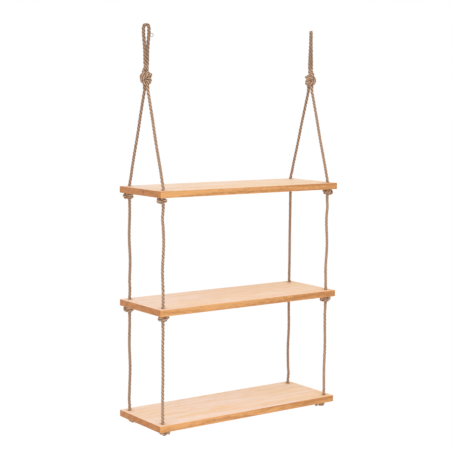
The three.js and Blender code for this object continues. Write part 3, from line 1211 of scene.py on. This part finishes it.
    def _frayed_paths(self) -> Iterator[tuple[Array, float, float]]:
        """Draws fibres that spread from the rope's cut ends, down from the board above them.

        Yields:
            Each fibre's path, its angle round the rope and its place along it.
        """
        rope, draws = self.rope, self.rope.draws
        steps = np.linspace(0.0, 1.0, self.fibre_segments + 1)[:, None]
        cut = ([0] if self.start == 0 else []) + ([-1] if self.end == len(rope.line) - 1 else [])
        for end in cut:
            outward = rope.outward(end)
            for _ in range(self.fray_count):
                angle = draws.uniform(0, TURN)
                out = math.cos(angle) * rope.frames[0][end] + math.sin(angle) * rope.frames[1][end]
                spread = draws.uniform(0.0, self.fray_spread_share)
                direction = outward + self.fray_flare_share * spread * out
                root = rope.line[end] + self.fray_start * outward + spread * out * self.part.radius
                length = draws.uniform(*self.fray_length)
                bend = self.fray_bend_share * steps**2 * draws.normal(0, 1, 3)
                path = root + length * (steps * direction + bend)
                path[:, 2] = np.minimum(path[:, 2], root[2])
                yield path, angle, float(rope.along[end])

    def _held_close(self, path: Array) -> Array:
        """Shortens a fibre that stands too far off the rope.

        Args:
            path: The fibre's path, one row for each point.

        Returns:
            The path from the same root.
        """
        core = self.rope.line[None, self.start : self.end + 1]
        while np.linalg.norm(path[:, None] - core, axis=2).min(axis=1).max() > self.fibre_reach:
            path = path[0] + self.shortened_share * (path - path[0])
        return path


@dataclass
class RopeRoute:
    """Finds the route of one side's rope from the frame: its loop, knots, slings and stretches."""

    side: Side
    frame: dict
    rope_radius: float = 0.003
    loop_radius: float = 0.0034
    loop_knot_radius: float = 0.0035
    board_knot_radius: float = 0.0033

    strand_offset: float = 0.00265
    crown_radius: float = 0.0051
    twist_end_share: float = 0.8
    rise_shares: Shares = (0, 0.12, 0.26, 0.4, 0.54, 0.68, 0.82, 0.92)
    width_shares: Shares = (0, 0, 0, 0.06, 0.28, 0.62, 0.94, 1)
    crown_angles: tuple[int, ...] = (0, 30, 60, 90, 120, 150, 180)
    loop_twists: dict[Side, float] = field(default_factory=lambda: {Side.LEFT: -30.0, Side.RIGHT: 45.0})

    knot_half_height: float = 0.0145
    knot_height_share: float = 0.85
    knot_width_share: float = 0.93
    stretch_points: int = 12
    sling_stray_share: float = 0.25

    # How much darker the jute is painted on each part, most on the loop and the rear lines
    loop_darkening: float = 0.93
    loop_knot_darkening: float = 0.1
    board_knot_darkening: float = 0.2
    sling_darkening: dict[Line, float] = field(default_factory=lambda: {Line.REAR: 0.7, Line.FRONT: 0.15})
    line_darkening: dict[Line, float] = field(default_factory=lambda: {Line.REAR: 0.4, Line.FRONT: 0.0})

    def pivot(self, joint: str) -> Vector:
        """Where a joint of the frame turns."""
        return Vector(next(found for found in self.frame["joints"] if found["name"] == joint)["pos_m"])

    def hole(self, line: Line) -> Span:
        """The middle of the hole that a line runs through."""
        low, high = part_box(f"{self.side.value}_{line.value}_middle_shelf_rope")
        return (low.x + high.x) / 2, (low.y + high.y) / 2

    def loop_line(self) -> Array:
        """Draws the loop over the hook, from the foot of its rear strand to that of its front strand.

        Returns:
            The points, one row each.
        """
        swing = self.pivot("front_back_swing")
        middle = self.pivot(f"{self.side.value}_upper_sway").x
        rise = -swing.z + self.rope_radius - self.crown_radius
        crown = np.radians(self.crown_angles)
        widths = self.strand_offset + (self.crown_radius - self.strand_offset) * np.array(self.width_shares)
        widths = np.concatenate([widths, self.crown_radius * np.cos(crown), -widths[::-1]])
        heights = np.array(self.rise_shares) * rise
        heights = np.concatenate([heights, rise + self.crown_radius * np.sin(crown), heights[::-1]])
        share = np.clip(heights / rise / self.twist_end_share, 0.0, 1.0)
        twist = math.radians(self.loop_twists[self.side]) * share**2 * (3 - 2 * share)
        return np.column_stack([middle + widths * np.cos(twist), widths * np.sin(twist), swing.z + heights])

    def rings(self, node: str, start: Array, level: str) -> Array:
        """A node's middle line from its upper end, at a start's place and as high as the top of level."""
        _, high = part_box(level)
        return tube_rings(self.frame["nodes"][node], Vector((start[0], start[1], high.z)))

    def drawn_tight(self, rings: Array) -> Array:
        """Draws the knot below the loop together, because soft jute lies closer than its solids.

        Args:
            rings: The middle line of one of the knot's strands.

        Returns:
            The line with the same ends.
        """
        upper = self.pivot(f"{self.side.value}_upper_sway")
        middle = np.array([upper.x, 0.0, (upper.z + self.pivot("front_back_swing").z) / 2])
        offsets = rings - middle
        rise = np.abs(offsets[:, 2])
        reach, half = min(rise[0], rise[-1]), self.knot_half_height
        drawn = np.interp(rise, [0.0, half, reach], [0.0, half * self.knot_height_share, reach])
        inner = np.interp(rise, [half, reach], [1.0, 0.0])[:, None]
        offsets[:, 2] = np.where(rise > reach, offsets[:, 2], np.sign(offsets[:, 2]) * drawn)
        offsets[:, :2] *= 1 - inner * (1 - self.knot_width_share)
        return middle + offsets

    def line_parts(self, line: Line, foot: Array) -> list[RopePart]:
        """Lists the parts of one line from the loop's foot down to the tail.

        Args:
            line: The rear or the front line.
            foot: The loop's end on that line.

        Returns:
            The parts in order.
        """
        name, least = f"{self.side.value}_{line.value}", self.line_darkening[line]
        node = f"{self.side.value}_loop_knot_{line.value}_strand"
        rings = self.rings(node, foot, node)
        end = [*rings[-1][:2], self.pivot(f"{self.side.value}_upper_sway").z]
        knot = np.vstack([foot, self.drawn_tight(rings), end])
        parts = [RopePart(node, knot, self.loop_knot_radius, (self.loop_knot_darkening,) * 2)]
        for tier in Tier:
            sling = tier is Tier.TOP
            start = parts[-1].points[-1]
            mouth = np.array([*self.hole(line), self.pivot(f"{tier.value}_shelf_levelling").z])
            stretch = start + np.linspace(0, 1, self.stretch_points)[:, None] * (mouth - start)
            darkening = (self.sling_darkening[line] if sling else least, least)
            stray = self.sling_stray_share if sling else 1.0
            node = f"{name}_sling_rope" if sling else f"{name}_{tier.value}_shelf_rope"
            parts.append(RopePart(node, stretch, self.rope_radius, darkening, taut=True, stray_share=stray))
            node = f"{name}_{tier.value}_shelf_knot"
            below = [[*mouth[:2], self.pivot(SWAYS_BELOW[tier]).z]] if tier in SWAYS_BELOW else []
            knot = np.vstack([mouth, self.rings(node, mouth, f"{tier.value}_shelf_board"), *below])
            parts.append(RopePart(node, knot, self.board_knot_radius, (self.board_knot_darkening,) * 2))
        return parts

    def parts(self) -> list[RopePart]:
        """Lists all parts of the rope.

        Returns:
            The parts, from the rear tail over the loop to the front tail.
        """
        line = self.loop_line()
        loop = RopePart(f"{self.side.value}_hanging_loop", line, self.loop_radius, (self.loop_darkening,) * 2)
        rear = [part.reversed() for part in reversed(self.line_parts(Line.REAR, line[0]))]
        return [*rear, loop, *self.line_parts(Line.FRONT, line[-1])]


@dataclass(frozen=True)
class LooseCurl:
    """One stiff yarn that curls out of the left loop."""

    height: float = -0.016
    ring_radius: float = 0.0031
    yarn_radii: Span = (0.00075, 0.00045)
    root_reach: float = 0.0021
    root_spacing: float = 0.000775
    facing: float = -35.74
    turns: float = 1.08
    rise: float = 0.0014
    darkening: float = 0.9
    steps: int = 44
    sides: int = 8

    def path(self, loop: Array) -> Array:
        """Draws the yarn's line, from inside the rope out and round.

        Args:
            loop: The line of the loop that it grows out of.

        Returns:
            The points, one row each.
        """
        strand = loop[: len(loop) // 2]
        root = strand[np.argmin(np.abs(strand[:, 2] - self.height))]
        turn = math.radians(self.facing)
        right = np.array([math.cos(turn), math.sin(turn), 0.0])
        away = np.array([-math.sin(turn), math.cos(turn), 0.0])
        share = np.linspace(0.0, 1.0, self.steps)[:, None]
        angles = math.pi - TURN * self.turns * share
        ring = np.cos(angles) * right + np.sin(angles) * np.array([0.0, 0.0, 1.0])
        middle = root + (self.root_reach + self.ring_radius) * right
        return middle + self.ring_radius * ring + self.rise * (share - 0.5) * away

    def build(self, loop: RopePart, body: str, jute: bpy.types.Material) -> None:
        """Makes the yarn and ties it to the loop's body.

        Args:
            loop: The loop that it grows out of.
            body: The loop's body.
            jute: The finish.
        """
        path = self.path(smooth_line(loop.points, self.root_spacing))
        points, faces = thin_tube(path, self.yarn_radii, self.sides)
        angles = np.tile(np.arange(self.sides) * TURN / self.sides, len(path))
        places = np.repeat(travelled(path), self.sides) / YARN_LENGTH
        yarn = np.column_stack([np.cos(angles), np.sin(angles), places])
        surface = JuteSurface(points, faces, yarn, np.tile([0.0, 0.0, self.darkening], (len(points), 1)))
        piece = new_piece(f"{loop.node}_curl", surface.mesh(f"{loop.node}_curl"), jute)
        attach(piece, body)
        LOG.info("%s: %d faces", piece.name, len(piece.data.polygons))


@dataclass
class KnottedRope:
    """One side's rope, dressed and tied to the bodies of the frame."""

    side: Side
    frame: dict
    jute: bpy.types.Material
    diameter: float = 0.006
    seeds: dict[Side, int] = field(default_factory=lambda: {Side.LEFT: 5, Side.RIGHT: 11})

    def build(self) -> None:
        rope = LaidRope(RopeRoute(self.side, self.frame).parts(), self.seeds[self.side])
        bodies = body_of_nodes(self.frame)
        if self.side is Side.LEFT:
            loop = next(part for part in rope.parts if part.node.endswith("hanging_loop"))
            LooseCurl().build(loop, bodies[loop.node], self.jute)
        for part, piece, line in rope.pieces(self.jute):
            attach(piece, bodies[part.node])
            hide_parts(part.node)
            length = float(travelled(line)[-1])
            if part.taut or part.node.endswith("hanging_loop"):
                tuple(line[0])
            LOG.info("%s: %.0f mm of rope, %d faces", piece.name, length / MM, len(piece.data.polygons))


def body_of_nodes(frame: dict) -> dict[str, str]:
    """The body's name for each node of the loaded frame."""
    bodies = frame["record"]["behaviour"]["bodies"]
    return {node: body for body, nodes in bodies.items() for node in nodes}


# The boards


@dataclass
class ShelfBoard:
    """One board: eased edges, round corners and four holes for the ropes."""

    tier: Tier
    frame: dict
    grain_shift: Triple
    blemishes: tuple[WoodBlemish, ...] = ()
    corner_radius: float = 0.002
    eased_edge: float = 0.0009
    hole_radius: float = 0.004
    corner_steps: int = 5
    edge_steps: int = 4
    hole_sides: int = 40
    sharp_angle: float = 50.0

    def box(self) -> Box:
        """The board's lowest and highest corners."""
        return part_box(f"{self.tier.value}_shelf_board")

    def holes(self) -> list[Span]:
        """The middles of the board's four holes."""
        return [RopeRoute(side, self.frame).hole(line) for side in Side for line in Line]

    def outline(self, inset: float) -> list[Span]:
        """Draws the board's outline.

        Args:
            inset: How far in from the board's sides, in metres.

        Returns:
            The outline's points, anticlockwise.
        """
        low, high = self.box()
        reach = self.corner_radius - inset
        left, right = low.x + self.corner_radius, high.x - self.corner_radius
        front, back = low.y + self.corner_radius, high.y - self.corner_radius
        points = []
        for quarter, (x, y) in enumerate(((right, back), (left, back), (left, front), (right, front))):
            for step in range(self.corner_steps + 1):
                angle = TURN / 4 * (quarter + step / self.corner_steps)
                points.append((x + reach * math.cos(angle), y + reach * math.sin(angle)))
        return points

    def mesh(self) -> bpy.types.Mesh:
        """Builds the board.

        Returns:
            A closed mesh, flat on its faces and smooth round its eased edges.
        """
        profile = self._edge_profile()
        work = bmesh.new()
        walls = [self._wall(work, [self.outline(inset) for inset, _ in profile], profile)]
        angles = [-TURN * n / self.hole_sides for n in range(self.hole_sides)]
        radii = [self.hole_radius + inset for inset, _ in profile]
        for x, y in self.holes():
            rings = [[(x + r * math.cos(a), y + r * math.sin(a)) for a in angles] for r in radii]
            walls.append(self._wall(work, rings, profile))
        for level in (0, -1):
            rings = [wall[level] for wall in walls]
            edges = [work.edges.get((ring[n - 1], ring[n])) for ring in rings for n in range(len(ring))]
            bmesh.ops.triangle_fill(work, use_beauty=True, use_dissolve=False, edges=edges)
        bmesh.ops.recalc_face_normals(work, faces=work.faces)
        mesh = bpy.data.meshes.new(f"{self.tier.value}_board_wood")
        work.to_mesh(mesh)
        work.free()
        mesh.shade_smooth()
        mesh.set_sharp_from_angle(angle=math.radians(self.sharp_angle))
        return mesh

    def _edge_profile(self) -> list[Span]:
        """Draws the board's eased edge.

        Returns:
            The inset and height of each ring, from the underside to the top.
        """
        low, high = self.box()
        angles = [TURN / 4 * n / self.edge_steps for n in range(self.edge_steps + 1)]
        eased = [(self.eased_edge * (1 - math.sin(a)), self.eased_edge * (1 - math.cos(a))) for a in angles]
        lower = [(inset, low.z + rise) for inset, rise in eased]
        return [*lower, *((inset, high.z + low.z - height) for inset, height in reversed(lower))]

    @staticmethod
    def _wall(work: bmesh.types.BMesh, rings: list[list[Span]], profile: list[Span]) -> list[list]:
        """Makes the wall round an outline or a hole.

        Args:
            work: The mesh that is being built.
            rings: The points of each ring.
            profile: The inset and height of each ring.

        Returns:
            The wall's rings of corners.
        """
        made = [[work.verts.new((*xy, height)) for xy in ring] for ring, (_, height) in zip(rings, profile)]
        for lower, upper in zip(made, made[1:]):
            for n in range(len(lower)):
                work.faces.new((lower[n - 1], lower[n], upper[n], upper[n - 1]))
        return made

    def build(self, wood: OiledWood) -> None:
        """Makes the board and lets it stand for the frame's board.

        Args:
            wood: The finish.
        """
        name, node = f"{self.tier.value}_board_wood", f"{self.tier.value}_shelf_board"
        hole = max(abs(x) for x, _ in self.holes()), max(abs(y) for _, y in self.holes())
        material = wood.material(name, self.grain_shift, hole, self.blemishes, self.box())
        piece = new_piece(name, self.mesh(), material)
        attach(piece, body_of_nodes(self.frame)[node])
        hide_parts(node)
        LOG.info("%s: %d faces", piece.name, len(piece.data.polygons))


# The whole shelf


@dataclass
class HangingShelf:
    """The whole object: two knotted ropes and three boards."""

    frame: dict
    end_knot: WoodBlemish = WoodBlemish(radius=0.0036, along_share=0.0, across_share=0.42, rise=0.001)
    edge_knot: WoodBlemish = WoodBlemish(radius=0.0014, along_share=0.29, across_share=0.0)

    def boards(self) -> list[ShelfBoard]:
        """Lists the boards.

        Returns:
            The three boards from the top down, each cut from its own place in the tree.
        """
        return [
            ShelfBoard(Tier.TOP, self.frame, (0.3, 0.012, 0.311), (self.end_knot,)),
            ShelfBoard(Tier.MIDDLE, self.frame, (1.7, -0.018, 0.534)),
            ShelfBoard(Tier.BOTTOM, self.frame, (3.1, 0.03, 0.757), (self.edge_knot,)),
        ]

    def build(self) -> None:
        """Makes every piece, the ropes first."""
        jute = Jute().material("jute_rope")
        for side in Side:
            KnottedRope(side, self.frame, jute).build()
        wood = OiledWood()
        for board in self.boards():
            board.build(wood)


def write_sizes(cad: object) -> None:
    """Writes the box of the CAD model and that of the dressed one.

    Args:
        cad: The box of the whole object before anything was added.
    """
    boxes = {"cad": cad, "visual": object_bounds()}
    plain = {name: [[float(x) for x in corner] for corner in box] for name, box in boxes.items()}
    LOG.info("sizes: %s", plain)


def main() -> None:
    """Builds the looks around the frame."""
    logging.basicConfig(level=logging.INFO, format="%(name)s: %(message)s")
    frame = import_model()
    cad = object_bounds()
    studio = Studio()
    studio.camera.place()
    HangingShelf(frame).build()
    studio.build(lowest=float(cad[0][2]))
    write_sizes(cad)


if __name__ == "__main__":
    main()
